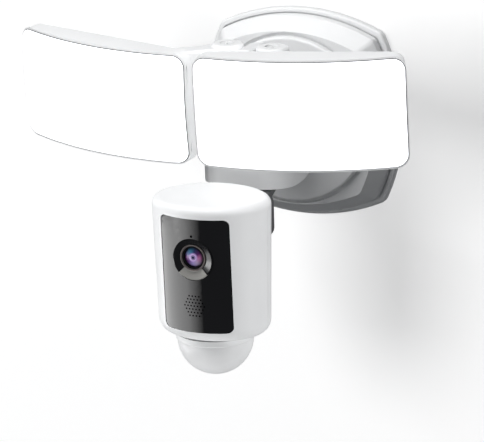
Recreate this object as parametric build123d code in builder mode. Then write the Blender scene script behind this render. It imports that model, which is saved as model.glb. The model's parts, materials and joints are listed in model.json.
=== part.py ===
"""Floodlight security camera: wall base, two LED heads on swivel arms, and a camera with a PIR dome.

Millimetres. The origin is on the wall, at the middle of the base. +X is to the right for someone
facing the wall, +Z is up, and the front of the camera looks along -Y.
"""

import os
from math import cos, pi, radians, sin, tan

from build123d import *

os.makedirs("parts", exist_ok=True)

# ---------------------------------------------------------------- driving dimensions
# Base. Square outlines with bowed sides: half width at the corner, bow of each side.
PLATE = (54.6, 12.6)  # wall plate
PLATE_T = 5.0
COVER_BACK = (51.3, 12.4)  # cover where it meets the plate
COVER_FRONT = (45.3, 10.6)  # cover's flat front
COVER_Y0, COVER_Y1, COVER_Y2 = 5.5, 11.0, 22.0  # back edge, foot of the slope, front
COVER_WALL, COVER_FACE = 2.5, 4.0
RECESS_R, RECESS_Y = 55.3, 20.0  # round recess in the cover's front
CABLE_R = 16.0
BOX_SPACING = 88.9  # junction box screw spacing, 3.5 in
BOX_HOLE_R = 2.4
DISC_R, DISC_T = 53.0, 6.0

# Hub: the block that carries the arms and the camera.
HUB_W, HUB_FRONT, HUB_BACK = 60.0, 102.0, 43.0
HUB_Z0, HUB_Z1 = -23.0, 50.0
HUB_NOSE, HUB_CORNER, HUB_TAIL, HUB_WALL = 18.0, 10.0, 43.0, 2.5
GROMMET_Y = -79.0
NECK_R, NECK_BORE_R = 22.0, 15.0

# Arm swivels on top of the hub, vertical axes.
SWIVEL_X, SWIVEL_Y, SWIVEL_R = 15.0, -82.0, 10.0
POST_Z, ARM_Z0, ARM_Z1 = 50.6, 51.5, 62.0
SWIVEL_SCREW_R = 2.1

# LED heads. The front is bowed along both its width and its height.
HEAD_W, HEAD_H, HEAD_CORNER = 125.2, 66.2, 7.6  # diffuser outline
HEAD_ROW_R, HEAD_COL_R = 193.0, 366.0
HEAD_RIM = 1.1
HEAD_SIDE0, HEAD_SIDE1, HEAD_BACK = 10.0, 21.0, 27.0
HEAD_POS = (66.4, -164.4, 42.7)
HEAD_YAW, HEAD_PITCH, HEAD_ROLL = 13.9, 3.5, -0.9
TILT_POS, TILT_R, TILT_PIN_R = (58.0, -129.5, 55.0), 7.0, 2.0  # tilt axis, runs left to right
ELBOW_Y = -117.0

# Camera body: an oval that narrows downwards.
CAM_Y = -143.9
CAM_A, CAM_B, CAM_Z1, CAM_Z0 = 36.9, 30.6, -16.0, -100.5
CAM_TAPER = 1.5
CAM_WALL = 3.4
CAM_SPLIT_Z = -21.5
FACE_W, FACE_Z0, FACE_Z1, FACE_CORNER = 44.6, -93.3, -22.4, 3.6
LENS_Z, RING_Z = -46.6, -47.5  # the lens sits a little above the middle of its ring
GRILLE_Z, MIC_Z = -76.6, -33.0
COLLAR_R, COLLAR_BORE, DOME_R, DOME_Z = 24.0, 22.3, 23.2, -104.4
BUTTON_R, BUTTON_Z = 3.6, -76.0

# Camera bracket: pans under the hub, carries the tilt pin behind the camera.
PAN_Y, PAN_R = -82.0, 14.5
YOKE_Z0, YOKE_Z1 = -28.5, -24.0
LEG_W, LEG_Y0, LEG_Y1, LEG_Z0 = 42.8, -107.0, -100.5, -53.0
CAM_PIN_Y, CAM_PIN_Z, CAM_PIN_R, EAR_R = -117.5, -40.0, 2.5, 6.5
RUN = 0.06  # radial running clearance of every pin in the piece that turns on it


# ---------------------------------------------------------------- shared helpers
def save(builder, name):
    """Label a finished piece and write its STEP file."""
    builder.part.label = name
    export_step(builder.part, f"parts/{name}.step")


def bowed(y, size, corner, grow=0.0):
    """Bowed square facing -Y at depth y in front of the wall."""
    half, bow = size[0] + grow, size[1]
    with BuildSketch(Plane.XZ.offset(y)) as sk:
        with BuildLine():
            ThreePointArc((-half, half), (0, half + bow), (half, half))
            ThreePointArc((half, half), (half + bow, 0), (half, -half))
            ThreePointArc((half, -half), (0, -half - bow), (-half, -half))
            ThreePointArc((-half, -half), (-half - bow, 0), (-half, half))
        make_face()
        fillet(sk.vertices(), corner)
    return sk.sketch


def disc_y(r, y0, y1, x=0.0, z=0.0, hole=0.0):
    """Disc or ring about a front-to-back axis, from depth y0 to depth y1 in front of the wall."""
    with BuildPart() as body:
        with BuildSketch(Plane.XZ.offset(y0)):
            with Locations((x, z)):
                Circle(r)
                if hole:
                    Circle(hole, mode=Mode.SUBTRACT)
        extrude(amount=y1 - y0)
    return body.part


def post_z(r, z0, z1, x, y, hole=0.0):
    """Disc or ring about a vertical axis."""
    with BuildPart() as body:
        with BuildSketch(Plane.XY.offset(z0)):
            with Locations((x, y)):
                Circle(r)
                if hole:
                    Circle(hole, mode=Mode.SUBTRACT)
        extrude(amount=z1 - z0)
    return body.part


def rounded_post(r, z0, z1, x, y, edge):
    """Vertical disc with a rounded top edge."""
    with BuildPart() as body:
        add(post_z(r, z0, z1, x, y))
        fillet(body.edges().sort_by(Axis.Z)[-1], edge)
    return body.part


def rod_x(r, x0, x1, y, z, hole=0.0):
    """Disc or ring about a left-to-right axis."""
    with BuildPart() as body:
        with BuildSketch(Plane.YZ.offset(x0)):
            with Locations((y, z)):
                Circle(r)
                if hole:
                    Circle(hole, mode=Mode.SUBTRACT)
        extrude(amount=x1 - x0)
    return body.part


def block(x0, x1, y0, y1, z0, z1):
    """Box between two corners."""
    with BuildPart() as body:
        with Locations(((x0 + x1) / 2, (y0 + y1) / 2, (z0 + z1) / 2)):
            Box(abs(x1 - x0), abs(y1 - y0), abs(z1 - z0))
    return body.part


def turned(profile, axis):
    """Solid of revolution; profile holds (radius, height) corners, height along the axis."""
    with BuildPart() as body:
        with BuildSketch(Plane.XZ):
            with BuildLine():
                Polyline(*profile, close=True)
            make_face()
        revolve(axis=Axis.Z)
    return body.part.moved(axis)


def lens_axis(z):
    """Places a turned piece on a camera axis that looks along -Y; its height is distance forward."""
    return Location((0, 0, z)) * Location((0, 0, 0), (90, 0, 0))


# ---------------------------------------------------------------- base
def make_wall_plate():
    """Plate on the wall: cable hole, two box screw holes, lip that centres the cover, screw tabs."""
    with BuildPart() as lip:
        extrude(bowed(PLATE_T, COVER_BACK, 3.0, grow=-2.9), amount=3.0)
        extrude(bowed(PLATE_T, COVER_BACK, 3.0, grow=-4.7), amount=3.0, mode=Mode.SUBTRACT)
    with BuildPart() as plate:
        extrude(bowed(0, PLATE, 6.0), amount=PLATE_T)
        front = plate.faces().sort_by(Axis.Y)[0]
        fillet(front.outer_wire().edges(), 1.6)
        extrude(bowed(PLATE_T - 1.2, COVER_BACK, 4.0, grow=0.8), amount=1.2, mode=Mode.SUBTRACT)
        extrude(bowed(PLATE_T - 1.2, COVER_BACK, 4.0, grow=-1.2), amount=1.2)
        add(lip.part)
        for x in (-25.0, 25.0):
            add(block(x - 4, x + 4, -PLATE_T, -11.3, -56.4, -47.0))
            add(post_z(1.5, -60.0, -46.0, x, -8.2), mode=Mode.SUBTRACT)
        add(disc_y(CABLE_R, -1, 20), mode=Mode.SUBTRACT)
        for x in (-BOX_SPACING / 2, BOX_SPACING / 2):
            add(disc_y(BOX_HOLE_R, -1, 20, x=x), mode=Mode.SUBTRACT)
        extrude(bowed(0, (50.0, 12.0), 3.0), amount=1.2, mode=Mode.SUBTRACT)
        extrude(bowed(0, (46.5, 11.2), 3.0), amount=1.2)
        add(disc_y(CABLE_R, -1, 20), mode=Mode.SUBTRACT)
        for x in (-BOX_SPACING / 2, BOX_SPACING / 2):
            add(disc_y(BOX_HOLE_R, -1, 20, x=x), mode=Mode.SUBTRACT)
    return plate


wall_plate = make_wall_plate()
save(wall_plate, "wall_plate")

with BuildPart() as wall_gasket:
    extrude(bowed(0, (49.9, 12.0), 3.0), amount=1.15)
    extrude(bowed(0, (46.6, 11.2), 3.0), amount=1.15, mode=Mode.SUBTRACT)
save(wall_gasket, "wall_gasket")


def make_cover():
    """Hollow cover: short side wall, sloping shoulder and flat front with the neck hole."""
    with BuildPart() as cover:
        extrude(bowed(COVER_Y0, COVER_BACK, 5.0), amount=COVER_Y1 - COVER_Y0)
        loft([bowed(COVER_Y1, COVER_BACK, 5.0), bowed(COVER_Y2, COVER_FRONT, 7.0)])
        inner0 = bowed(COVER_Y0, COVER_BACK, 3.0, grow=-COVER_WALL)
        inner1 = bowed(COVER_Y1, COVER_BACK, 3.0, grow=-COVER_WALL)
        inner2 = bowed(COVER_Y2 - COVER_FACE, COVER_FRONT, 5.0, grow=-0.2)
        extrude(inner0, amount=COVER_Y1 - COVER_Y0, mode=Mode.SUBTRACT)
        loft([inner1, inner2], mode=Mode.SUBTRACT)
        add(disc_y(RECESS_R, RECESS_Y, 30), mode=Mode.SUBTRACT)
        add(disc_y(NECK_R + 0.1, 10, 30), mode=Mode.SUBTRACT)
        for x in (-25.0, 25.0):
            add(post_z(1.7, -70.0, -55.0, x, -8.2), mode=Mode.SUBTRACT)
            add(post_z(3.0, -70.0, -59.4, x, -8.2), mode=Mode.SUBTRACT)
    return cover


cover_shell = make_cover()
save(cover_shell, "cover_shell")

with BuildPart() as front_disc:
    add(disc_y(DISC_R, RECESS_Y, RECESS_Y + DISC_T, hole=NECK_R + 0.1))
    rims = front_disc.edges().filter_by(GeomType.CIRCLE).filter_by(lambda e: e.radius > 50)
    fillet(rims.sort_by(Axis.Y)[0], 1.6)
save(front_disc, "front_disc")

with BuildPart() as neck_nut:
    with BuildSketch(Plane.XZ.offset(13.0)):
        RegularPolygon(27.0, 8)
        Circle(NECK_R + 0.03, mode=Mode.SUBTRACT)
    extrude(amount=COVER_Y2 - COVER_FACE - 13.0)
save(neck_nut, "neck_nut")


def screw_z(x, y, z, length, up=1):
    """Pan-head screw with a cross recess; z is the underside of the head, the shank runs upwards."""
    with BuildPart() as screw:
        with Locations((x, y, z)):
            Cylinder(1.42, length, align=(Align.CENTER, Align.CENTER, Align.MIN))
            Cylinder(2.7, 1.4, align=(Align.CENTER, Align.CENTER, Align.MAX))
        with Locations((x, y, z - 1.4)):
            Box(3.2, 0.7, 1.6, mode=Mode.SUBTRACT)
            Box(0.7, 3.2, 1.6, mode=Mode.SUBTRACT)
    return screw.part


FLOOR_SCREWS = [(-19.5, -91.5), (19.5, -91.5), (-13.5, -55.0), (13.5, -55.0)]
with BuildPart() as shell_screws:
    for x in (-25.0, 25.0):
        add(screw_z(x, -8.2, -59.45, 10.5))
    for x, y in FLOOR_SCREWS:
        add(screw_z(x, y, HUB_Z0 + 1.5, 9.0))
save(shell_screws, "shell_screws")


# Power supply inside the base, above the cable hole.
with BuildPart() as driver_board:
    add(block(-40, 40, -8.0, -9.6, 24.0, 52.0))
    for x in (-36, 36):
        for z in (28, 48):
            add(disc_y(3.0, PLATE_T, 8.0, x=x, z=z))
save(driver_board, "driver_board")

with BuildPart() as driver_parts:
    add(block(-12, 8, -9.6, -17.6, 28.0, 46.0))
    for x, z in ((15.5, 32.0), (15.5, 43.0), (-19.0, 33.0), (-19.0, 43.5)):
        add(disc_y(4.6, 9.6, 17.0, x=x, z=z))
    add(block(24, 33, -9.6, -15.0, 30.0, 44.0))
    add(block(-34, -27, -9.6, -14.0, 31.0, 45.0))
save(driver_parts, "driver_parts")

with BuildPart() as terminal_block:
    add(block(-18, 18, -PLATE_T, -15.0, -38.0, -27.0))
    for x in (-12, 0, 12):
        add(disc_y(2.6, 12.0, 16.0, x=x, z=-32.5), mode=Mode.SUBTRACT)
        add(block(x - 3, x + 3, -7.5, -12.0, -39.0, -34.0), mode=Mode.SUBTRACT)
save(terminal_block, "terminal_block")


# ---------------------------------------------------------------- hub
def hub_outline(z, grow):
    """Outline of the hub seen from above: rounded nose, bowed sides that draw in towards the wall."""
    front, back = -(HUB_FRONT + grow), -(HUB_BACK - grow)
    wide, narrow = HUB_W / 2 - 1.6 + grow, HUB_TAIL / 2 + grow
    with BuildSketch(Plane.XY.offset(z)) as sk:
        with BuildLine():
            ThreePointArc((-wide, front + 1.0), (0, front), (wide, front + 1.0))
            ThreePointArc((wide, front + 1.0), (HUB_W / 2 + grow, front + 24.0), (narrow, back))
            Line((narrow, back), (-narrow, back))
            ThreePointArc((-narrow, back), (-HUB_W / 2 - grow, front + 24.0), (-wide, front + 1.0))
        make_face()
        fillet(sk.vertices().group_by(Axis.Y)[0], HUB_NOSE + grow)
        fillet(sk.vertices().group_by(Axis.Y)[-1], HUB_CORNER + grow)
    return sk.sketch


def make_hub():
    """Open-bottomed block with a round neck to the base and a raised pad for the two swivels."""
    with BuildPart() as hub:
        extrude(hub_outline(HUB_Z0, 0), amount=HUB_Z1 - HUB_Z0)
        fillet(hub.faces().sort_by(Axis.Z)[-1].edges(), 4.0)
        with BuildSketch(Plane.XY.offset(HUB_Z1 - 1)):
            with Locations((0, SWIVEL_Y)):
                SlotCenterToCenter(2 * SWIVEL_X, 2 * SWIVEL_R)
        extrude(amount=POST_Z - HUB_Z1 + 1)
        add(block(-4.3, 4.3, SWIVEL_Y - 9.5, SWIVEL_Y + 11.5, HUB_Z1 - 1, ARM_Z1 - 1.5))
        rib = hub.faces().sort_by(Axis.Z)[-1]
        fillet(rib.edges(), 1.5)
        add(disc_y(NECK_R, 12.0, HUB_BACK + 10))
        extrude(hub_outline(HUB_Z0, -HUB_WALL), amount=HUB_Z1 - HUB_WALL - HUB_Z0, mode=Mode.SUBTRACT)
        add(disc_y(NECK_BORE_R, 10, HUB_BACK + 5), mode=Mode.SUBTRACT)
        for x in (-SWIVEL_X, SWIVEL_X):
            add(post_z(5.5, 36.0, HUB_Z1, x, SWIVEL_Y))
            add(post_z(SWIVEL_SCREW_R + 0.02, 30.0, 60.0, x, SWIVEL_Y), mode=Mode.SUBTRACT)
            add(rod_x(4.05, x * 1.6, x * 2.2, GROMMET_Y, 24.0), mode=Mode.SUBTRACT)
        for x, y in FLOOR_SCREWS:
            add(post_z(5.2, HUB_Z0 + 2.6, -8.0, x, y))
            add(post_z(1.45, -24.0, -10.0, x, y), mode=Mode.SUBTRACT)
    return hub


hub_shell = make_hub()
save(hub_shell, "hub_shell")

with BuildPart() as hub_floor:
    extrude(hub_outline(HUB_Z0, -HUB_WALL - 0.1), amount=2.5)
    add(post_z(3.03, -30.0, -10.0, 0, PAN_Y), mode=Mode.SUBTRACT)
    for x, y in FLOOR_SCREWS:
        add(post_z(1.5, -30.0, -10.0, x, y), mode=Mode.SUBTRACT)
        add(post_z(2.9, -30.0, HUB_Z0 + 1.5, x, y), mode=Mode.SUBTRACT)
save(hub_floor, "hub_floor")

with BuildPart() as hub_grommets:
    for side in (-1, 1):
        wall = side * (HUB_W / 2 + 0.15)
        add(rod_x(4.0, wall - side * 2.6, wall, GROMMET_Y, 24.0, hole=1.6))
        add(rod_x(5.2, wall, wall + side * 1.4, GROMMET_Y, 24.0, hole=1.6))
save(hub_grommets, "hub_grommets")

with BuildPart() as knuckle_screws:
    for x in (-SWIVEL_X, SWIVEL_X):
        with Locations((x, SWIVEL_Y, ARM_Z1 - 2.4)):
            Cylinder(SWIVEL_SCREW_R, 20.0, align=(Align.CENTER, Align.CENTER, Align.MAX))
            Cylinder(4.2, 1.8, align=(Align.CENTER, Align.CENTER, Align.MIN))
        with Locations((x, SWIVEL_Y, ARM_Z1 - 0.6)):
            Box(4.0, 0.8, 1.6, mode=Mode.SUBTRACT)
            Box(0.8, 4.0, 1.6, mode=Mode.SUBTRACT)
save(knuckle_screws, "knuckle_screws")

with BuildPart() as friction_washers:
    for x in (-SWIVEL_X, SWIVEL_X):
        add(post_z(9.3, POST_Z + 0.02, ARM_Z0 - 0.1, x, SWIVEL_Y, hole=SWIVEL_SCREW_R + 0.1))
    add(post_z(13.0, YOKE_Z1 + 0.08, HUB_Z0 - 0.02, 0, PAN_Y, hole=3.2))
save(friction_washers, "friction_washers")

with BuildPart() as pan_bolt:
    add(post_z(3.0, YOKE_Z0 - 0.5, -12.0, 0, PAN_Y))
    with BuildSketch(Plane.XY.offset(YOKE_Z0 - 3.6)):
        with Locations((0, PAN_Y)):
            RegularPolygon(5.8, 6)
    extrude(amount=3.3)
    with BuildSketch(Plane.XY.offset(HUB_Z0 + 2.55)):
        with Locations((0, PAN_Y)):
            RegularPolygon(5.8, 6)
            Circle(3.0, mode=Mode.SUBTRACT)
    extrude(amount=4.2)
save(pan_bolt, "pan_bolt")

# ---------------------------------------------------------------- LED head, right-hand one
HEAD = (
    Location(HEAD_POS)
    * Location((0, 0, 0), (0, 0, HEAD_YAW))
    * Location((0, 0, 0), (HEAD_PITCH, 0, 0))
    * Location((0, 0, 0), (0, HEAD_ROLL, 0))
)


def head_prism(grow, y0, y1):
    """Rounded rectangle of the head, grown by a margin, from local depth y0 to y1 behind the front."""
    with BuildPart() as body:
        with BuildSketch(Plane.XZ.offset(-y1)):
            RectangleRounded(HEAD_W + 2 * grow, HEAD_H + 2 * grow, HEAD_CORNER + grow)
        extrude(amount=y1 - y0)
    return body.part


def head_taper(grow0, grow1, y0, y1):
    """Rounded rectangle whose (width, height) margins change from grow0 at y0 to grow1 at y1."""
    with BuildPart() as body:
        for (dx, dz), y in ((grow0, y0), (grow1, y1)):
            with BuildSketch(Plane.XZ.offset(-y)):
                RectangleRounded(HEAD_W + 2 * dx, HEAD_H + 2 * dz, max(HEAD_CORNER + dx, 5.0))
        loft()
    return body.part


def bowed_solid(depth):
    """Everything behind the bowed front surface, moved back by depth."""
    reach = 44.0
    edge = depth + reach**2 / (2 * HEAD_COL_R)
    with BuildPart() as body:
        with BuildSketch(Plane.YZ):
            with BuildLine():
                ThreePointArc((edge, -reach), (depth, 0), (edge, reach))
                Polyline((edge, reach), (HEAD_ROW_R, reach), (HEAD_ROW_R, -reach), (edge, -reach))
            make_face()
        revolve(axis=Axis((0, HEAD_ROW_R, 0), (0, 0, 1)))
    return body.part


BOWED = {depth: bowed_solid(depth) for depth in (0.0, 0.4, 2.2, 3.2)}


HEAD_POSTS = [(x, z) for x in (-50.0, 50.0) for z in (-21.0, 21.0)]


def make_head_housing():
    """Shallow box open at the front, with a ledge for the diffuser and screw posts inside."""
    with BuildPart() as pocket:
        add(head_prism(0.15, -2, HEAD_SIDE1))
        add(BOWED[3.2], mode=Mode.SUBTRACT)
    with BuildPart() as housing:
        add(head_prism(HEAD_RIM, -2, HEAD_SIDE0))
        side, back = (HEAD_RIM - 2.7, HEAD_RIM - 0.4), (HEAD_RIM - 10.0, HEAD_RIM - 7.0)
        add(head_taper((HEAD_RIM, HEAD_RIM), side, HEAD_SIDE0, HEAD_SIDE1))
        add(head_taper(side, back, HEAD_SIDE1, HEAD_BACK))
        add(BOWED[0.4], mode=Mode.INTERSECT)
        add(pocket.part, mode=Mode.SUBTRACT)
        add(head_prism(-1.8, -2, HEAD_SIDE0), mode=Mode.SUBTRACT)
        inner = (-4.2, -2.2)
        add(head_taper((-1.8, -1.8), inner, HEAD_SIDE0, HEAD_SIDE1 - 1), mode=Mode.SUBTRACT)
        add(head_taper(inner, (-11.5, -8.5), HEAD_SIDE1 - 1, HEAD_BACK - 2.4), mode=Mode.SUBTRACT)
        for x, z in HEAD_POSTS:
            add(disc_y(3.2, -HEAD_BACK + 1, -19.7, x=x, z=z))
    return housing


def make_tilt_lugs():
    """Two lugs that reach back from the housing to the tilt bolt, in the shared frame."""
    x, y, z = TILT_POS
    with BuildPart() as lugs:
        for x0 in (x - 9.4, x + 5.3):
            add(block(x0, x0 + 4.1, y, y - 20, z - TILT_R, z + TILT_R))
            add(rod_x(TILT_R, x0, x0 + 4.1, y, z))
        add(block(-90, 90, -60, HEAD_BACK - 1.2, -60, 60).moved(HEAD), mode=Mode.SUBTRACT)
        add(rod_x(TILT_PIN_R + 0.02, x - 15, x + 15, y, z), mode=Mode.SUBTRACT)
    return lugs.part


def make_tilt_bolt():
    """Bolt with a round head and a hexagon nut, through both lugs."""
    x, y, z = TILT_POS
    with BuildPart() as bolt:
        add(rod_x(TILT_PIN_R, x - 11.4, x + 10.0, y, z))
        add(rod_x(3.9, x + 9.45, x + 11.6, y, z))
        with BuildSketch(Plane.YZ.offset(x - 12.0)):
            with Locations((y, z)):
                RegularPolygon(3.9, 6)
        extrude(amount=2.55)
    return bolt.part


def make_head_parts():
    """Pieces of one head in the head's own frame, by name."""
    parts = {"housing": make_head_housing()}

    with BuildPart() as diffuser:
        add(head_prism(-0.25, -2, HEAD_SIDE1 - 2))
        add(BOWED[0.0], mode=Mode.INTERSECT)
        add(BOWED[2.2], mode=Mode.SUBTRACT)
    parts["diffuser"] = diffuser

    with BuildPart() as seal:
        add(head_prism(-0.3, -2, HEAD_SIDE1 - 2))
        add(head_prism(-1.6, -4, HEAD_SIDE1), mode=Mode.SUBTRACT)
        add(BOWED[2.2], mode=Mode.INTERSECT)
        add(BOWED[3.2], mode=Mode.SUBTRACT)
    parts["seal"] = seal

    with BuildPart() as board:
        add(block(-56, 56, 15.0, 16.6, -27, 27))
    parts["led_board"] = board

    with BuildPart() as plate:
        add(block(-55, 55, 16.65, 19.65, -26, 26))
    parts["heat_plate"] = plate

    with BuildPart() as leds:
        for i in range(10):
            for j in range(5):
                x = (i - 4.5) * 11.0
                z = (j - 2) * 10.5
                add(block(x - 1.5, x + 1.5, 14.2, 14.98, z - 1.5, z + 1.5))
    parts["leds"] = leds
    parts["tilt_bolt"] = None
    return parts


def make_arm():
    """Arm of the right-hand head: ring round the swivel screw, beam, elbow and tilt tongue."""
    x, y, z = TILT_POS
    with BuildPart() as arm:
        with BuildSketch(Plane.XY.offset(ARM_Z0)) as beam:
            with Locations((SWIVEL_X, SWIVEL_Y)):
                Circle(7.0)
            with Locations((x, ELBOW_Y)):
                Circle(6.2)
            make_hull(beam.edges())
        extrude(amount=ARM_Z1 - ARM_Z0 - 1.6)
        fillet(arm.faces().sort_by(Axis.Z)[-1].edges(), 2.0)
        add(rounded_post(6.4, z - 6.6, z + 6.6, x, ELBOW_Y, 1.5))
        add(rounded_post(SWIVEL_R, ARM_Z0, ARM_Z1, SWIVEL_X, SWIVEL_Y, 2.2))
        add(rod_x(TILT_R - 0.2, x - 5.0, x + 5.0, y, z))
        add(block(x - 5.0, x + 5.0, y, ELBOW_Y, z - 5.4, z + 5.4))
        add(rod_x(TILT_PIN_R + RUN, x - 15, x + 15, y, z), mode=Mode.SUBTRACT)
        add(post_z(SWIVEL_SCREW_R + RUN, 50, 65, SWIVEL_X, SWIVEL_Y), mode=Mode.SUBTRACT)
        add(post_z(4.5, ARM_Z1 - 2.5, 65, SWIVEL_X, SWIVEL_Y), mode=Mode.SUBTRACT)
    return arm


arm_right = make_arm()
save(arm_right, "arm_right")
with BuildPart() as arm_left:
    add(mirror(arm_right.part, about=Plane.YZ))
save(arm_left, "arm_left")

for piece, local in make_head_parts().items():
    with BuildPart() as right:
        if local:
            add(local.part.moved(HEAD))
        if piece == "housing":
            add(make_tilt_lugs())
        if piece == "tilt_bolt":
            add(make_tilt_bolt())
    save(right, f"head_right_{piece}")
    with BuildPart() as left:
        add(mirror(right.part, about=Plane.YZ))
    save(left, f"head_left_{piece}")


# ---------------------------------------------------------------- camera
def cam_form(inset, z1=CAM_Z1, z0=CAM_Z0, round_top=0.0, round_bottom=0.0):
    """The camera's tapered oval, moved inwards all round by inset, between two heights."""
    slope = tan(radians(CAM_TAPER))
    with BuildPart() as body:
        for z in (z0, z1):
            narrow = inset + (CAM_Z1 - z) * slope
            with BuildSketch(Plane.XY.offset(z)):
                with Locations((0, CAM_Y)):
                    Ellipse(CAM_A - narrow, CAM_B - narrow)
        loft()
        if round_top:
            fillet(body.edges().sort_by(Axis.Z)[-1], round_top)
        if round_bottom:
            fillet(body.edges().sort_by(Axis.Z)[0], round_bottom)
    return body.part


def face_prism(grow, corner=None):
    """Outline of the black face, grown by a margin, through the front half of the camera."""
    radius = FACE_CORNER + grow if corner is None else corner
    with BuildPart() as body:
        with BuildSketch(Plane.XZ.offset(148)):
            with Locations((0, (FACE_Z0 + FACE_Z1) / 2)):
                RectangleRounded(FACE_W + 2 * grow, FACE_Z1 - FACE_Z0 + 2 * grow, radius)
        extrude(amount=45)
    return body.part


CAM_OUTER = cam_form(0, round_top=4.4, round_bottom=8.5)
CAM_INNER = cam_form(CAM_WALL, z1=CAM_Z1 - CAM_WALL, z0=CAM_Z0 + 2.6, round_bottom=5.0)
REAR_ZONE = block(-50, 50, CAM_Y, -90, -120, CAM_SPLIT_Z)
CASE_SCREWS = [(x, z) for x in (-21.0, 21.0) for z in (-63.0, -91.0)]

# Shallow recess in the front shell that the black face sits in.
with BuildPart() as face_recess:
    add(face_prism(0.15))
    add(cam_form(2.75), mode=Mode.SUBTRACT)

with BuildPart() as cam_front_shell:
    add(CAM_OUTER)
    add(CAM_INNER, mode=Mode.SUBTRACT)
    for x, z in CASE_SCREWS:
        add(disc_y(3.6, 144.6, 153.0, x=x, z=z))
        wall_side = x + 11 if x > 0 else x - 11
        add(block(x, wall_side, -144.6, -153, z - 1.2, z + 1.2))
    add(CAM_OUTER, mode=Mode.INTERSECT)
    add(face_recess.part, mode=Mode.SUBTRACT)
    add(face_prism(-3.0, corner=2.0), mode=Mode.SUBTRACT)
    add(block(-50, 50, CAM_Y - 0.2, -90, -120, CAM_SPLIT_Z + 0.2), mode=Mode.SUBTRACT)
    add(post_z(22.0, -110, -90, 0, CAM_Y), mode=Mode.SUBTRACT)
    for x, z in CASE_SCREWS:
        add(disc_y(1.45, 140.0, 151.0, x=x, z=z), mode=Mode.SUBTRACT)
save(cam_front_shell, "cam_front_shell")


def make_rear_shell():
    """Back of the camera: pocket for the bracket's ears, tilt lug, button hole and screw bosses."""
    z0, z1 = CAM_PIN_Z - 12.0, CAM_PIN_Z + 12.0
    with BuildPart() as shell:
        add(CAM_OUTER)
        add(CAM_INNER, mode=Mode.SUBTRACT)
        add(block(-23.2, 23.2, -128.7, -105, z0 - 2, z1 + 2))
        for x, z in CASE_SCREWS:
            add(disc_y(4.4, 110.0, 144.4, x=x, z=z))
        for x in (-8.0, 8.0):
            for z in (BUTTON_Z - 5.0, BUTTON_Z + 5.0):
                add(disc_y(1.6, 110.0, 124.6, x=x, z=z))
        add(CAM_OUTER, mode=Mode.INTERSECT)
        add(REAR_ZONE, mode=Mode.INTERSECT)
        add(block(-21.0, 21.0, -126.5, -100, z0, z1), mode=Mode.SUBTRACT)
        add(block(-13.7, 13.7, -127.5, CAM_PIN_Y, CAM_PIN_Z - EAR_R, CAM_PIN_Z + EAR_R))
        add(rod_x(EAR_R, -13.7, 13.7, CAM_PIN_Y, CAM_PIN_Z))
        add(rod_x(CAM_PIN_R + RUN, -30, 30, CAM_PIN_Y, CAM_PIN_Z), mode=Mode.SUBTRACT)
        add(post_z(22.0, -110, -90, 0, CAM_Y), mode=Mode.SUBTRACT)
        add(disc_y(BUTTON_R + RUN, 100, 125, z=BUTTON_Z), mode=Mode.SUBTRACT)
        for x, z in CASE_SCREWS:
            add(disc_y(1.6, 100.0, 150.0, x=x, z=z), mode=Mode.SUBTRACT)
            add(disc_y(3.0, 100.0, 127.0, x=x, z=z), mode=Mode.SUBTRACT)
    return shell


cam_rear_shell = make_rear_shell()
save(cam_rear_shell, "cam_rear_shell")


def grille_holes():
    """Hexagon of small round sound holes."""
    across, down = 2.1, 2.05
    spots = []
    for row in range(-3, 4):
        count = 7 - abs(row)
        for k in range(count):
            spots.append(((k - (count - 1) / 2) * across, GRILLE_Z + row * down))
    return spots


with BuildPart() as cam_face:
    add(face_prism(0))
    add(cam_form(0.25), mode=Mode.INTERSECT)
    add(cam_form(2.25), mode=Mode.SUBTRACT)
    add(disc_y(13.0, 140, 190, z=RING_Z), mode=Mode.SUBTRACT)
    add(disc_y(0.8, 140, 190, z=MIC_Z), mode=Mode.SUBTRACT)
    for x, z in grille_holes():
        add(disc_y(0.54, 140, 190, x=x, z=z), mode=Mode.SUBTRACT)
save(cam_face, "cam_face")

with BuildPart() as face_seal:
    add(face_prism(-0.3))
    add(face_prism(-2.8, corner=2.0), mode=Mode.SUBTRACT)
    add(cam_form(2.28), mode=Mode.INTERSECT)
    add(cam_form(2.72), mode=Mode.SUBTRACT)
save(face_seal, "face_seal")

# Lens group, turned about the axis that looks forward.
LENS = lens_axis(LENS_Z)
RING_PROFILE = [(6.0, 168.5), (12.85, 168.5), (12.85, 172.7), (12.3, 173.0), (8.0, 171.9), (6.0, 171.9)]


def wedge(half_angle, grow=0.0):
    """Downward sector seen from the front, used to part the light bar from the lens ring."""
    with BuildPart() as body:
        with BuildSketch(Plane.XZ.offset(160)):
            with BuildLine():
                a = radians(half_angle)
                reach = 30.0
                left = (-reach * sin(a), RING_Z - reach * cos(a))
                right = (reach * sin(a), RING_Z - reach * cos(a))
                Polyline((0, RING_Z - grow), left, right, close=True)
            make_face()
        extrude(amount=20)
    return body.part


with BuildPart() as lens_ring:
    add(turned(RING_PROFILE, lens_axis(RING_Z)))
    add(disc_y(8.35, 160, 180, z=LENS_Z), mode=Mode.SUBTRACT)
    add(wedge(47), mode=Mode.SUBTRACT)
save(lens_ring, "lens_ring")

with BuildPart() as light_bar:
    add(turned(RING_PROFILE, lens_axis(RING_Z)))
    add(disc_y(8.35, 160, 180, z=LENS_Z), mode=Mode.SUBTRACT)
    add(wedge(47, grow=0.2), mode=Mode.INTERSECT)
save(light_bar, "light_bar")

BEZEL_PROFILE = [(7.15, 168.5), (8.25, 168.5), (8.25, 172.3), (8.0, 172.8), (7.6, 172.8), (7.15, 172.2)]
with BuildPart() as lens_bezel:
    add(turned(BEZEL_PROFILE, LENS))
save(lens_bezel, "lens_bezel")

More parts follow.
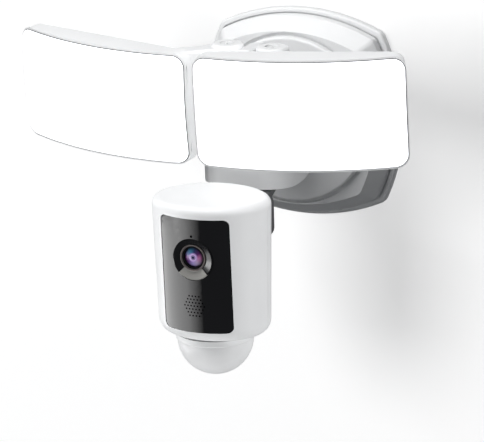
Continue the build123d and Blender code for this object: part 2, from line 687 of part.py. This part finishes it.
BARREL_PROFILE = [
    (5.0, 157.3),
    (8.6, 157.3),
    (8.6, 160.0),
    (7.05, 160.0),
    (7.05, 172.0),
    (6.35, 172.0),
    (6.35, 166.0),
    (5.0, 166.0),
]
with BuildPart() as lens_barrel:
    add(turned(BARREL_PROFILE, LENS))
save(lens_barrel, "lens_barrel")


def dome_lens(radius, base, rise, thickness):
    """Glass disc with a convex front, in the lens group's own frame."""
    with BuildPart() as glass:
        with BuildSketch(Plane.XZ):
            with BuildLine():
                Polyline((0, base + thickness + rise), (0, base), (radius, base), (radius, base + thickness))
                cap = (radius**2 + rise**2) / (2 * rise)
                mid = radius / 2
                drop = cap - (cap**2 - mid**2) ** 0.5
                ThreePointArc(
                    (radius, base + thickness),
                    (mid, base + thickness + rise - drop),
                    (0, base + thickness + rise),
                )
            make_face()
        revolve(axis=Axis.Z)
    return glass.part


with BuildPart() as lens_glass:
    add(dome_lens(6.32, 169.4, 1.5, 1.2).moved(LENS))
save(lens_glass, "lens_glass")

with BuildPart() as lens_inner:
    add(dome_lens(4.9, 162.6, 1.6, 1.2).moved(LENS))
save(lens_inner, "lens_inner")

with BuildPart() as sensor_board:
    add(block(-14, 14, -155.7, -157.2, LENS_Z - 14, LENS_Z + 14))
save(sensor_board, "sensor_board")

with BuildPart() as image_sensor:
    add(block(-3.4, 3.4, -157.25, -158.6, LENS_Z - 3.4, LENS_Z + 3.4))
save(image_sensor, "image_sensor")

with BuildPart() as ir_board:
    add(disc_y(13.6, 163.6, 164.8, z=RING_Z))
    add(disc_y(8.8, 160, 170, z=LENS_Z), mode=Mode.SUBTRACT)
save(ir_board, "ir_board")

with BuildPart() as ir_leds:
    for k in range(8):
        a = 2 * pi * (k + 0.5) / 8
        x, z = 11.4 * cos(a), RING_Z + 11.4 * sin(a)
        add(disc_y(1.5, 164.85, 167.2, x=x, z=z))
save(ir_leds, "ir_leds")

with BuildPart() as microphone:
    add(block(-2, 2, -166.5, -169.0, MIC_Z + 0.4, MIC_Z + 4.4))
save(microphone, "microphone")

SPEAKER_PROFILE = [
    (0, 155.5),
    (6.5, 155.5),
    (6.5, 159.0),
    (11.5, 164.5),
    (11.5, 168.3),
    (10.3, 168.3),
    (5.0, 165.2),
    (0, 166.6),
]
with BuildPart() as speaker:
    add(turned(SPEAKER_PROFILE, lens_axis(GRILLE_Z)))
save(speaker, "speaker")

with BuildPart() as main_board:
    add(block(-15.5, 15.5, -148.2, -149.8, -94, -25))
    add(block(-26, 26, -148.2, -149.8, -86, -68))
    add(block(-26, 26, -148.2, -149.8, -58, -25))
save(main_board, "main_board")

with BuildPart() as main_chips:
    add(block(-7, 7, -149.85, -151.3, -56, -42))
    add(block(-20, -10, -149.85, -151.0, -54, -42))
    add(block(10, 20, -149.85, -151.0, -50, -42))
    add(block(-8, 8, -146.0, -148.15, -80, -68))
    add(block(12, 20, -146.8, -148.15, -48, -40))
save(main_chips, "main_chips")

with BuildPart() as case_screws:
    for x, z in CASE_SCREWS:
        add(disc_y(1.42, 126.5, 149.5, x=x, z=z))
        add(disc_y(2.8, 125.1, 126.95, x=x, z=z))
        with Locations((x, -125.2, z)):
            Box(3.4, 1.6, 0.8, mode=Mode.SUBTRACT)
            Box(0.8, 1.6, 3.4, mode=Mode.SUBTRACT)
save(case_screws, "case_screws")

# Motion sensor under the camera: collar, milky dome with a lip inside the collar, board, sensor.
COLLAR_PROFILE = [
    (COLLAR_BORE, DOME_Z + 0.1),
    (COLLAR_R - 0.4, DOME_Z + 0.1),
    (COLLAR_R, DOME_Z + 0.7),
    (COLLAR_R, -100.6),
    (18.0, -100.6),
    (18.0, -101.4),
    (COLLAR_BORE, -101.4),
]
with BuildPart() as pir_collar:
    add(turned(COLLAR_PROFILE, Location((0, CAM_Y, 0))))
    add(post_z(21.9, -101.0, -97.6, 0, CAM_Y, hole=18.0))
save(pir_collar, "pir_collar")


def make_dome():
    """Half sphere, 1.6 thick, with a narrower lip on top; its axis is vertical."""
    outer, inner, lip = DOME_R, DOME_R - 1.6, COLLAR_BORE - 0.1
    bore = lip - 1.3
    foot = DOME_Z - (inner**2 - bore**2) ** 0.5
    s = sin(radians(45))
    half = bore / 2  # radius of a point between the ends of the inner arc
    inner_mid = (half, DOME_Z - (inner**2 - half**2) ** 0.5)
    with BuildPart() as dome:
        with BuildSketch(Plane.XZ):
            with BuildLine():
                Polyline((outer, DOME_Z), (lip, DOME_Z), (lip, -101.5), (bore, -101.5), (bore, foot))
                ThreePointArc((bore, foot), inner_mid, (0, DOME_Z - inner))
                Line((0, DOME_Z - inner), (0, DOME_Z - outer))
                ThreePointArc((0, DOME_Z - outer), (outer * s, DOME_Z - outer * s), (outer, DOME_Z))
            make_face()
        revolve(axis=Axis.Z)
    return dome.part


with BuildPart() as pir_dome:
    add(make_dome().moved(Location((0, CAM_Y, 0))))
save(pir_dome, "pir_dome")

with BuildPart() as pir_board:
    add(post_z(20.5, -97.5, -96.2, 0, CAM_Y))
save(pir_board, "pir_board")

with BuildPart() as pir_sensor:
    add(post_z(4.6, -103.0, -97.55, 0, CAM_Y))
    add(post_z(5.3, -98.4, -97.55, 0, CAM_Y))
save(pir_sensor, "pir_sensor")

# Reset button on the back, and the switch it presses.
with BuildPart() as reset_button:
    add(disc_y(BUTTON_R, 114.3, 118.9, z=BUTTON_Z))
    fillet(reset_button.edges().sort_by(Axis.Y)[-1], 0.6)
    add(disc_y(4.8, 118.9, 120.1, z=BUTTON_Z))
save(reset_button, "reset_button")

with BuildPart() as reset_switch:
    add(block(-10, 10, -124.65, -126.0, BUTTON_Z - 8, BUTTON_Z + 8))
    add(block(-3, 3, -122.8, -124.65, BUTTON_Z - 3, BUTTON_Z + 3))
    add(disc_y(1.5, 120.95, 122.8, z=BUTTON_Z))
save(reset_switch, "reset_switch")

# ---------------------------------------------------------------- camera bracket
with BuildPart() as cam_yoke:
    with BuildSketch(Plane.XY.offset(YOKE_Z0)) as top:
        with Locations((0, PAN_Y)):
            Circle(PAN_R)
        with Locations((0, (LEG_Y0 + LEG_Y1) / 2)):
            Rectangle(LEG_W - 4, LEG_Y1 - LEG_Y0)
        make_hull(top.edges())
    extrude(amount=YOKE_Z1 - YOKE_Z0)
    with BuildSketch(Plane.XZ.offset(-LEG_Y1)) as leg:
        with Locations((0, (LEG_Z0 + YOKE_Z1) / 2)):
            Rectangle(LEG_W, YOKE_Z1 - LEG_Z0)
        fillet(leg.vertices().group_by(Axis.Z)[0], 7.0)
    extrude(amount=LEG_Y1 - LEG_Y0)
    for x in (-20.0, 14.0):
        add(block(x, x + 6, LEG_Y0 + 1, CAM_PIN_Y, CAM_PIN_Z - EAR_R, CAM_PIN_Z + EAR_R))
        add(rod_x(EAR_R, x, x + 6, CAM_PIN_Y, CAM_PIN_Z))
    add(rod_x(CAM_PIN_R + 0.02, -30, 30, CAM_PIN_Y, CAM_PIN_Z), mode=Mode.SUBTRACT)
    add(post_z(3.0 + RUN, -40, -10, 0, PAN_Y), mode=Mode.SUBTRACT)
save(cam_yoke, "cam_yoke")

with BuildPart() as cam_tilt_pin:
    add(rod_x(CAM_PIN_R, -20.2, 20.2, CAM_PIN_Y, CAM_PIN_Z))
    for x in (-20.2, 20.2):
        with Locations((x, CAM_PIN_Y, CAM_PIN_Z)):
            Box(1.2, 4.0, 0.8, mode=Mode.SUBTRACT)
save(cam_tilt_pin, "cam_tilt_pin")
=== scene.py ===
"""Floodlight security camera: procedural finishes, stage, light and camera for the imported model."""
import json
import math

import bpy
from mathutils import Matrix, Vector


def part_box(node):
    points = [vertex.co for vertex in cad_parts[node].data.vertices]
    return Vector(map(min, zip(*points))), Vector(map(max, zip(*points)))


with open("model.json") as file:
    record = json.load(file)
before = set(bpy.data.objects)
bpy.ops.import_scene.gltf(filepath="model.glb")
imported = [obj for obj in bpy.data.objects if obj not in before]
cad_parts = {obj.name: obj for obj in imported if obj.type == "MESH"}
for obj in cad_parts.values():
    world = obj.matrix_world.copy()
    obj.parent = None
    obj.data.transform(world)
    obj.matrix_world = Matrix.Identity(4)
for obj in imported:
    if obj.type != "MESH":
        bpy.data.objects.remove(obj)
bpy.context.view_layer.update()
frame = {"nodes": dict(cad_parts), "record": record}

# Metres: height of the camera's lens axis, and the radius over which the lens's painted reflection rings
# are spread.
LENS_Z = sum(corner[2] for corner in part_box("lens_glass")) / 2
LENS_REFLECTION_R = 0.0063

# Sockets of a Mix node that mixes colours.
MIX_A, MIX_B, MIX_RESULT = 6, 7, 2

WHITE = (0.80, 0.805, 0.81)


# ---------------------------------------------------------------- node helpers
class Graph:
    """A material with a Principled shader, and short calls for the nodes that feed it."""

    def __init__(self, name, colour, rough, **sockets):
        self.mat = bpy.data.materials.new(name)
        self.mat.use_nodes = True
        self.mat.diffuse_color = (*colour, 1.0)
        self.tree = self.mat.node_tree
        self.shader = self.tree.nodes["Principled BSDF"]
        self.shader.inputs["Base Color"].default_value = (*colour, 1.0)
        self.shader.inputs["Roughness"].default_value = rough
        for key, value in sockets.items():
            self.shader.inputs[key.replace("_", " ")].default_value = value
        self.where = self.tree.nodes.new("ShaderNodeTexCoord").outputs["Object"]

    def node(self, kind, **values):
        """New node. Each value goes to the input of that name, or else to the node's own setting."""
        made = self.tree.nodes.new(kind)
        for key, value in values.items():
            name = key.replace("_", " ")
            if name in made.inputs:
                made.inputs[name].default_value = value
            else:
                setattr(made, key, value)
        return made

    def link(self, a, b):
        self.tree.links.new(a, b)

    def noise(self, scale, detail=3.0, rough=0.5, stretch=None):
        tex = self.node("ShaderNodeTexNoise", Scale=scale, Detail=detail, Roughness=rough)
        where = self.where
        if stretch:
            squash = self.node("ShaderNodeMapping")
            squash.inputs["Scale"].default_value = stretch
            self.link(where, squash.inputs["Vector"])
            where = squash.outputs["Vector"]
        self.link(where, tex.inputs["Vector"])
        return tex.outputs["Fac"]

    def ramp(self, fac, stops):
        made = self.node("ShaderNodeValToRGB")
        points = made.color_ramp.elements
        while len(points) < len(stops):
            points.new(0.5)
        for point, (pos, colour) in zip(points, stops):
            point.position = pos
            point.color = (*colour, 1.0)
        self.link(fac, made.inputs["Fac"])
        return made.outputs["Color"]

    def spread(self, fac, low, high):
        made = self.node("ShaderNodeMapRange")
        made.inputs["From Min"].default_value = 0.3
        made.inputs["From Max"].default_value = 0.7
        made.inputs["To Min"].default_value = low
        made.inputs["To Max"].default_value = high
        self.link(fac, made.inputs["Value"])
        return made.outputs["Result"]

    def maths(self, operation, a, b=None):
        made = self.node("ShaderNodeMath", operation=operation)
        for slot, value in zip(made.inputs, (a, b)):
            if value is None:
                continue
            if isinstance(value, (int, float)):
                slot.default_value = value
            else:
                self.link(value, slot)
        return made.outputs["Value"]

    def mix(self, factor, a, b, blend="MIX"):
        """Mixed colour; each of factor, a and b is a value or another node's output."""
        made = self.node("ShaderNodeMix", data_type="RGBA", blend_type=blend)
        for socket, value in (("Factor", factor), (MIX_A, a), (MIX_B, b)):
            slot = made.inputs[socket]
            if isinstance(value, bpy.types.NodeSocket):
                self.link(value, slot)
            else:
                slot.default_value = value
        return made.outputs[MIX_RESULT]

    def colour(self, output):
        self.link(output, self.shader.inputs["Base Color"])

    def rough(self, output):
        self.link(output, self.shader.inputs["Roughness"])

    def bump(self, height, distance, strength=0.5):
        made = self.node("ShaderNodeBump", Strength=strength, Distance=distance)
        self.link(height, made.inputs["Height"])
        self.link(made.outputs["Normal"], self.shader.inputs["Normal"])

    def vary(self, colour, amount, scale):
        """Base colour that drifts a little lighter and darker over the surface."""
        low = tuple(c * (1 - amount) for c in colour)
        high = tuple(min(1.0, c * (1 + amount)) for c in colour)
        self.colour(self.ramp(self.noise(scale, 4.0), [(0.3, low), (0.7, high)]))


def moulded(name, colour, rough, grain=1400.0, depth=0.00002, spread=0.05, **sockets):
    """Moulded plastic: faint colour drift, fine spark-eroded grain, uneven gloss."""
    g = Graph(name, colour, rough, **sockets)
    g.vary(colour, 0.02, 35.0)
    g.rough(g.spread(g.noise(60.0, 5.0), rough - spread, rough + spread))
    g.bump(g.noise(grain, 4.0, 0.6), depth, 0.35)
    return g


def brushed(name, colour, rough, stretch, **sockets):
    """Drawn or brushed metal with streaks along one axis."""
    g = Graph(name, colour, rough, Metallic=1.0, **sockets)
    streak = g.noise(900.0, 4.0, 0.7, stretch)
    low = tuple(c * 0.86 for c in colour)
    g.colour(g.ramp(streak, [(0.3, low), (0.7, colour)]))
    g.rough(g.spread(streak, rough - 0.07, rough + 0.07))
    g.bump(streak, 0.00002, 0.3)
    return g


def radial(g, z, reach):
    """Distance from a level axis along Y at x = 0 and height z, 1 at reach; then the way right and up."""
    split = g.node("ShaderNodeSeparateXYZ")
    g.link(g.where, split.inputs["Vector"])
    up = g.maths("SUBTRACT", split.outputs["Z"], z)
    x = split.outputs["X"]
    squares = g.maths("ADD", g.maths("POWER", x, 2.0), g.maths("POWER", up, 2.0))
    return g.maths("DIVIDE", g.maths("SQRT", squares), reach), x, up


def white_plastic():
    return moulded("white_plastic", WHITE, 0.42, Coat_Weight=0.08, Coat_Roughness=0.3)


def diffuser():
    """Opal panel that glows only where it faces forwards at rest; its side faces are painted grey, as
    painted shade that draws its outline.
    """
    edge_glow = (0.0, 0.0, 0.0, 1.0)
    edge_painted_shade = (0.30, 0.305, 0.315, 1.0)
    front_limit = -0.72
    g = Graph("opal_diffuser", (0.93, 0.945, 0.96), 0.32, Emission_Strength=1.4)
    glow = g.ramp(g.noise(28.0, 2.0), [(0.3, (0.93, 0.955, 1.0)), (0.7, (0.98, 0.99, 1.0))])
    facing = g.node("ShaderNodeSeparateXYZ")
    g.link(g.node("ShaderNodeTexCoord").outputs["Normal"], facing.inputs["Vector"])
    front = g.maths("LESS_THAN", facing.outputs["Y"], front_limit)
    # Painted shade: faces not turned forwards neither glow nor stay white, but are painted grey.
    g.link(g.mix(front, edge_glow, glow), g.shader.inputs["Emission Color"])
    g.colour(g.mix(front, edge_painted_shade, glow))
    g.rough(g.spread(g.noise(300.0), 0.28, 0.38))
    g.bump(g.noise(2500.0, 2.0), 0.00001, 0.3)
    return g


def milky_dome():
    """Cloudy motion-sensor dome: light goes a few millimetres into it."""
    g = Graph("milky_dome", WHITE, 0.36, Subsurface_Weight=0.3, Subsurface_Scale=0.003)
    g.shader.inputs["Subsurface Radius"].default_value = (1.0, 1.0, 1.0)
    g.vary(WHITE, 0.015, 50.0)
    g.rough(g.spread(g.noise(120.0, 4.0), 0.3, 0.42))
    g.bump(g.noise(700.0, 3.0), 0.000015, 0.3)
    return g


def gloss_black():
    """Polished black face plate with a very shallow waviness."""
    colour = (0.004, 0.004, 0.005)
    g = Graph("gloss_black", colour, 0.07, Coat_Weight=0.4, Coat_Roughness=0.03)
    g.vary(colour, 0.2, 20.0)
    g.rough(g.spread(g.noise(90.0, 5.0), 0.05, 0.11))
    g.bump(g.noise(45.0, 2.0), 0.00003, 0.05)
    return g


def lens_painted_reflections():
    """Lens glass painted with reflection and shade: a dark pupil, a pale ring, then pink, lavender,
    violet and blue round it, all painted reflections.
    """
    g = Graph(
        "painted_reflection_lens",
        (0.05, 0.04, 0.1),
        0.16,
        Coat_Weight=0.08,
        Coat_Roughness=0.08,
        Specular_IOR_Level=0.25,
    )
    # Painted reflection and shade: colour by bearing round the lens axis and rings by radius stand in for
    # the coating's coloured reflections and the dark pupil.
    r, x, up = radial(g, LENS_Z, LENS_REFLECTION_R)
    around = g.maths("ADD", g.maths("DIVIDE", g.maths("ARCTAN2", up, x), 2 * math.pi), 0.5)
    painted_reflection_sector = g.ramp(
        around,
        [
            (0.0, (0.16, 0.05, 0.20)),
            (0.1, (0.10, 0.03, 0.16)),
            (0.24, (0.32, 0.26, 0.55)),
            (0.36, (0.46, 0.36, 0.56)),
            (0.5, (0.55, 0.20, 0.42)),
            (0.6, (0.10, 0.02, 0.12)),
            (0.72, (0.03, 0.05, 0.14)),
            (0.82, (0.06, 0.22, 0.36)),
            (0.92, (0.16, 0.20, 0.40)),
            (1.0, (0.16, 0.05, 0.20)),
        ],
    )
    pale = g.ramp(
        r,
        [
            (0.0, (0.01, 0.01, 0.04)),
            (0.10, (0.02, 0.02, 0.07)),
            (0.17, (0.30, 0.24, 0.44)),
            (0.22, (0.16, 0.11, 0.28)),
            (0.28, (0.66, 0.50, 0.82)),
            (0.38, (0.36, 0.24, 0.52)),
            (0.50, (0.0, 0.0, 0.0)),
        ],
    )
    weight = g.ramp(
        r,
        [
            (0.34, (0.0, 0.0, 0.0)),
            (0.52, (1.0, 1.0, 1.0)),
            (0.78, (0.9, 0.9, 0.9)),
            (0.98, (0.02, 0.02, 0.02)),
        ],
    )
    outer = g.mix(1.0, painted_reflection_sector, weight, "MULTIPLY")
    g.colour(g.mix(1.0, outer, pale, "ADD"))
    g.rough(g.spread(g.noise(500.0), 0.13, 0.2))
    return g


def bezel_metal():
    """Dark plated ring round the lens, with a fine satin grain."""
    colour = (0.16, 0.14, 0.135)
    g = Graph("bezel_metal", colour, 0.34, Metallic=0.6)
    g.vary(colour, 0.12, 400.0)
    g.rough(g.spread(g.noise(800.0, 4.0), 0.28, 0.42))
    g.bump(g.noise(2600.0, 2.0), 0.00001, 0.4)
    return g


def foam():
    """Dark closed-cell foam, pitted where its cells are cut."""
    g = Graph("closed_foam", (0.09, 0.09, 0.095), 0.9)
    cells = g.node("ShaderNodeTexVoronoi", Scale=1600.0)
    g.link(g.where, cells.inputs["Vector"])
    g.colour(g.ramp(cells.outputs["Distance"], [(0.0, (0.05, 0.05, 0.05)), (0.7, (0.13, 0.13, 0.135))]))
    g.bump(cells.outputs["Distance"], 0.0002, 0.8)
    return g


def circuit(name, colour, trace):
    """Solder mask over tracks, which show as thin lines and stand out a little."""
    g = Graph(name, colour, 0.38, Coat_Weight=0.3, Coat_Roughness=0.25)
    tracks = g.node("ShaderNodeTexVoronoi", Scale=210.0, distance="MANHATTAN")
    g.link(g.where, tracks.inputs["Vector"])
    line = g.maths("PINGPONG", g.maths("MULTIPLY", tracks.outputs["Distance"], 7.0), 1.0)
    g.colour(g.ramp(line, [(0.0, trace), (0.18, trace), (0.24, colour), (1.0, colour)]))
    g.bump(line, 0.00003, 0.4)
    return g


def phosphor():
    """Yellow phosphor on the white LEDs, faintly lit."""
    colour = (0.85, 0.66, 0.16)
    g = Graph("led_phosphor", colour, 0.5, Emission_Strength=0.4)
    g.vary(colour, 0.15, 900.0)
    g.shader.inputs["Emission Color"].default_value = (1.0, 0.93, 0.7, 1.0)
    g.bump(g.noise(3000.0), 0.00003, 0.5)
    return g


# One finish for each material slot of the record, then two for nodes that differ from their slot.
BUILDERS = {
    "white_plastic": white_plastic,
    "diffuser": diffuser,
    "milky_dome": milky_dome,
    "gloss_black": gloss_black,
    "black_plastic": lambda: moulded("black_plastic", (0.03, 0.03, 0.032), 0.55),
    "grey_plastic": lambda: moulded("grey_plastic", (0.33, 0.35, 0.38), 0.5),
    "light_guide": lambda: moulded("light_guide", (0.29, 0.285, 0.27), 0.3, Specular_IOR_Level=0.6),
    "bezel_metal": bezel_metal,
    "lens_glass": lens_painted_reflections,
    "ir_lens": lambda: moulded("ir_lens", (0.06, 0.02, 0.04), 0.12, depth=0.000005, spread=0.03),
    "rubber": lambda: moulded("soft_rubber", (0.20, 0.205, 0.21), 0.72, grain=900.0, depth=0.00004),
    "foam": foam,
    "dark_plastic": lambda: moulded("bracket_plastic", (0.36, 0.36, 0.37), 0.5),
    "white_paint": lambda: moulded("white_paint", WHITE, 0.34, grain=500.0, depth=0.00003),
    "nylon": lambda: moulded("nylon", (0.72, 0.72, 0.68), 0.35, grain=700.0),
    "steel": lambda: brushed("zinc_steel", (0.60, 0.60, 0.62), 0.34, (1.0, 1.0, 0.08)),
    "aluminium": lambda: brushed("aluminium", (0.80, 0.81, 0.82), 0.3, (0.08, 1.0, 1.0)),
    "circuit_board": lambda: circuit("circuit_board", (0.02, 0.13, 0.06), (0.04, 0.22, 0.10)),
    "white_board": lambda: circuit("white_board", (0.80, 0.80, 0.78), (0.70, 0.71, 0.70)),
    "phosphor": phosphor,
    "chip_black": lambda: moulded("chip_epoxy", (0.025, 0.025, 0.028), 0.6, grain=2500.0),
    "ring": lambda: moulded("ring_black", (0.005, 0.005, 0.006), 0.17, depth=0.000004, spread=0.03),
    "barrel": lambda: moulded("barrel_black", (0.008, 0.008, 0.009), 0.8, Specular_IOR_Level=0.15),
}
FINISH = {slot: build().mat for slot, build in BUILDERS.items()}
SPECIAL = {"lens_barrel": "barrel", "lens_ring": "ring"}

for entry in frame["record"]["subparts"]:
    node = frame["nodes"][entry["node"]]
    if not node.material_slots:
        node.data.materials.append(None)
    for slot in node.material_slots:
        slot.material = FINISH[SPECIAL.get(entry["node"], entry["material_slot"])]


# ---------------------------------------------------------------- stage
# Metres. The wall is just behind the plate's back face, which is at y = 0.
WALL_Y = 0.0008
FLOOR_Z = -0.4
FLOOR_FRONT = -4.0
SIDE = 3.0
WALL_TOP = 3.0


def sheet_mesh(name, corners, cuts=6):
    """Flat sheet divided into a grid, from four corners."""
    a, b, c, d = (Vector(p) for p in corners)
    verts, faces = [], []
    for i in range(cuts + 1):
        for j in range(cuts + 1):
            u, v = i / cuts, j / cuts
            verts.append(a.lerp(b, u).lerp(d.lerp(c, u), v))
    for i in range(cuts):
        for j in range(cuts):
            k = i * (cuts + 1) + j
            faces.append((k, k + cuts + 1, k + cuts + 2, k + 1))
    mesh = bpy.data.meshes.new(name)
    mesh.from_pydata([tuple(v) for v in verts], [], faces)
    made = bpy.data.objects.new(name, mesh)
    bpy.context.scene.collection.objects.link(made)
    return made


def backdrop(name, corners, colour, glow):
    """Matte pale sheet that shows only its front, so the object can be seen from behind and below."""
    made = sheet_mesh(name, corners)
    g = Graph(name, colour, 0.9, Emission_Strength=glow, Specular_IOR_Level=0.1)
    g.vary(colour, 0.004, 3.0)
    g.shader.inputs["Emission Color"].default_value = (1.0, 1.0, 1.0, 1.0)
    from_behind = g.node("ShaderNodeNewGeometry").outputs["Backfacing"]
    clear = g.node("ShaderNodeBsdfTransparent").outputs["BSDF"]
    either = g.node("ShaderNodeMixShader")
    for slot, output in zip(either.inputs, (from_behind, g.shader.outputs["BSDF"], clear)):
        g.link(output, slot)
    g.link(either.outputs["Shader"], g.tree.nodes["Material Output"].inputs["Surface"])
    made.data.materials.append(g.mat)
    made.visible_diffuse = made.visible_glossy = made.visible_shadow = made.visible_transmission = False
    return made


front_edge = [(-SIDE, FLOOR_FRONT, FLOOR_Z), (SIDE, FLOOR_FRONT, FLOOR_Z)]
wall_foot = [(-SIDE, WALL_Y, FLOOR_Z), (SIDE, WALL_Y, FLOOR_Z)]
wall_head = [(SIDE, WALL_Y, WALL_TOP), (-SIDE, WALL_Y, WALL_TOP)]
WALL = backdrop("wall", wall_foot + wall_head, (0.62, 0.62, 0.62), 0.57)
FLOOR = backdrop("floor", front_edge + wall_foot[::-1], (0.86, 0.86, 0.86), 0.2)


# ---------------------------------------------------------------- light
def aim(thing, at):
    way = Vector(at) - thing.location
    thing.rotation_mode = "QUATERNION"
    thing.rotation_quaternion = way.to_track_quat("-Z", "Y")


BODIES = frame["record"]["behaviour"]["bodies"]
RIGHT_HEAD = ("head_right", "arm_right")
LEFT_HEAD = ("head_left", "arm_left")
BASE = ("base",)
HEADS_AND_BASE = RIGHT_HEAD + LEFT_HEAD + BASE
CAMERA = ("camera",)

# Points that the lamps look at: the object's middle, between the heads, the hub, and the camera.
MIDDLE = (0, -0.1, 0)
AT_HEADS = (0, -0.14, 0.05)
AT_HUB = (0, -0.08, 0)
AT_CAMERA = (0, -0.14, -0.06)


def softbox(name, place, at, width, height, power, bodies, backdrops=False):
    """Soft lamp for the pieces of these bodies, or for single nodes, which are also all that blocks
    it. With backdrops it lights the wall and floor too, and everything blocks it."""
    lamp = bpy.data.lights.new(name, "AREA")
    lamp.shape = "RECTANGLE"
    lamp.size, lamp.size_y = width, height
    lamp.energy = power
    made = bpy.data.objects.new(name, lamp)
    made.location = place
    made.visible_glossy = False
    bpy.context.scene.collection.objects.link(made)
    aim(made, at)
    group = bpy.data.collections.new(name + "_takers")
    for body in bodies:
        for node in BODIES.get(body, [body]):
            group.objects.link(frame["nodes"][node])
    made.light_linking.receiver_collection = group
    if backdrops:
        group.objects.link(WALL)
        group.objects.link(FLOOR)
    else:
        made.light_linking.blocker_collection = group


softbox("key", (-1.5, -2.6, 1.7), MIDDLE, 1.9, 1.6, 60.0, HEADS_AND_BASE)
softbox("top", (-0.1, -0.6, 1.7), MIDDLE, 1.1, 1.0, 26.0, HEADS_AND_BASE)
softbox("right_head", (1.4, -1.0, 0.2), AT_HEADS, 0.8, 0.8, 10.0, RIGHT_HEAD)
softbox("left_head", (1.4, -1.0, 0.2), AT_HEADS, 0.8, 0.8, 17.0, LEFT_HEAD)
softbox("low", (1.2, -1.2, -0.5), (0, 0, 0), 0.8, 0.8, 1.2, BASE)
softbox("hub", (1.6, -0.8, -0.15), AT_HUB, 0.8, 0.8, 6.0, ("hub_shell",))
softbox("backdrops", (-1.15, -2.9, 0.75), MIDDLE, 1.3, 1.3, 68.0, (), backdrops=True)
softbox("behind", (0.5, 2.2, 0.25), AT_HUB, 1.6, 1.2, 34.0, tuple(BODIES))
softbox("above", (-0.2, -0.35, 1.2), AT_CAMERA, 1.2, 1.2, 23.0, CAMERA)
softbox("left", (-1.5, -0.8, -0.7), AT_CAMERA, 1.0, 1.0, 32.0, CAMERA)
softbox("right", (1.35, -0.5, -0.75), AT_CAMERA, 0.9, 0.9, 20.0, CAMERA)

CARD_R = 1.2
CARD_MIDDLE_Y = -0.15
CARD_POINTS = 12


def card(name, stops, z0, z1):
    """Bright upright card, bent round the object, that shows only in reflections. Stops are
    (bearing, strength), with the bearing in degrees from -Y towards -X."""
    verts, levels = [], []
    for (bearing0, level0), (bearing1, level1) in zip(stops, stops[1:]):
        for k in range(CARD_POINTS):
            part = k / (CARD_POINTS - 1)
            a = math.radians(bearing0 + (bearing1 - bearing0) * part)
            for z in (z0, z1):
                verts.append((-CARD_R * math.sin(a), CARD_MIDDLE_Y - CARD_R * math.cos(a), z))
                levels.append(level0 + (level1 - level0) * part)
    faces = [(i, i + 2, i + 3, i + 1) for i in range(0, len(verts) - 2, 2)]
    mesh = bpy.data.meshes.new(name)
    mesh.from_pydata(verts, [], faces)
    glow = mesh.attributes.new("glow", "FLOAT", "POINT")
    glow.data.foreach_set("value", levels)
    made = bpy.data.objects.new(name, mesh)
    bpy.context.scene.collection.objects.link(made)
    mat = bpy.data.materials.new(name)
    mat.use_nodes = True
    tree = mat.node_tree
    tree.nodes.clear()
    level = tree.nodes.new("ShaderNodeAttribute")
    level.attribute_name = "glow"
    light = tree.nodes.new("ShaderNodeEmission")
    out = tree.nodes.new("ShaderNodeOutputMaterial")
    tree.links.new(level.outputs["Fac"], light.inputs["Strength"])
    tree.links.new(light.outputs[0], out.inputs["Surface"])
    mesh.materials.append(mat)
    made.visible_camera = made.visible_diffuse = made.visible_shadow = False


card("reflector", [(10.0, 0.0), (14, 0.55), (20, 1.1), (37, 2.8), (70, 3.5), (100, 3.7)], -0.68, -0.42)
card("glint", [(38, 0.0), (44, 9.0), (54, 9.0), (60, 0.0)], -0.44, -0.22)

# The world looks brighter to the camera than it lights the object.
WORLD_LIGHT = 0.11
WORLD_SEEN = 0.8
world = bpy.data.worlds.new("studio")
world.use_nodes = True
back = world.node_tree.nodes["Background"]
back.inputs["Color"].default_value = (0.93, 0.96, 1.0, 1.0)
seen = world.node_tree.nodes.new("ShaderNodeLightPath")
level = world.node_tree.nodes.new("ShaderNodeMapRange")
level.inputs["To Min"].default_value = WORLD_LIGHT
level.inputs["To Max"].default_value = WORLD_SEEN
world.node_tree.links.new(seen.outputs["Is Camera Ray"], level.inputs["Value"])
world.node_tree.links.new(level.outputs["Result"], back.inputs["Strength"])
bpy.context.scene.world = world

# ---------------------------------------------------------------- camera
# Where the camera stands, in metres, then its bearing, its height above level and its roll, in degrees.
CAMERA_PLACE = (0.8193, -1.8827, 0.5536)
AZ, EL, ROLL = (math.radians(a) for a in (24.6946, 16.9604, 1.7513))
LENS_MM = 249.75
SENSOR_MM = 36.0

forward = Vector((-math.sin(AZ) * math.cos(EL), math.cos(AZ) * math.cos(EL), -math.sin(EL)))
right = Vector((math.cos(AZ), math.sin(AZ), 0))
up = right.cross(forward)
cam = bpy.data.objects.new("camera", bpy.data.cameras.new("camera"))
cam.data.lens = LENS_MM
cam.data.sensor_width = SENSOR_MM
cam.data.clip_end = 50.0
rolled_right = right * math.cos(ROLL) - up * math.sin(ROLL)
rolled_up = right * math.sin(ROLL) + up * math.cos(ROLL)
axes = Matrix((rolled_right, rolled_up, -forward)).transposed()
cam.matrix_world = Matrix.Translation(CAMERA_PLACE) @ axes.to_4x4()
bpy.context.scene.collection.objects.link(cam)
bpy.context.scene.camera = cam
bpy.context.scene.view_settings.view_transform = "Standard"
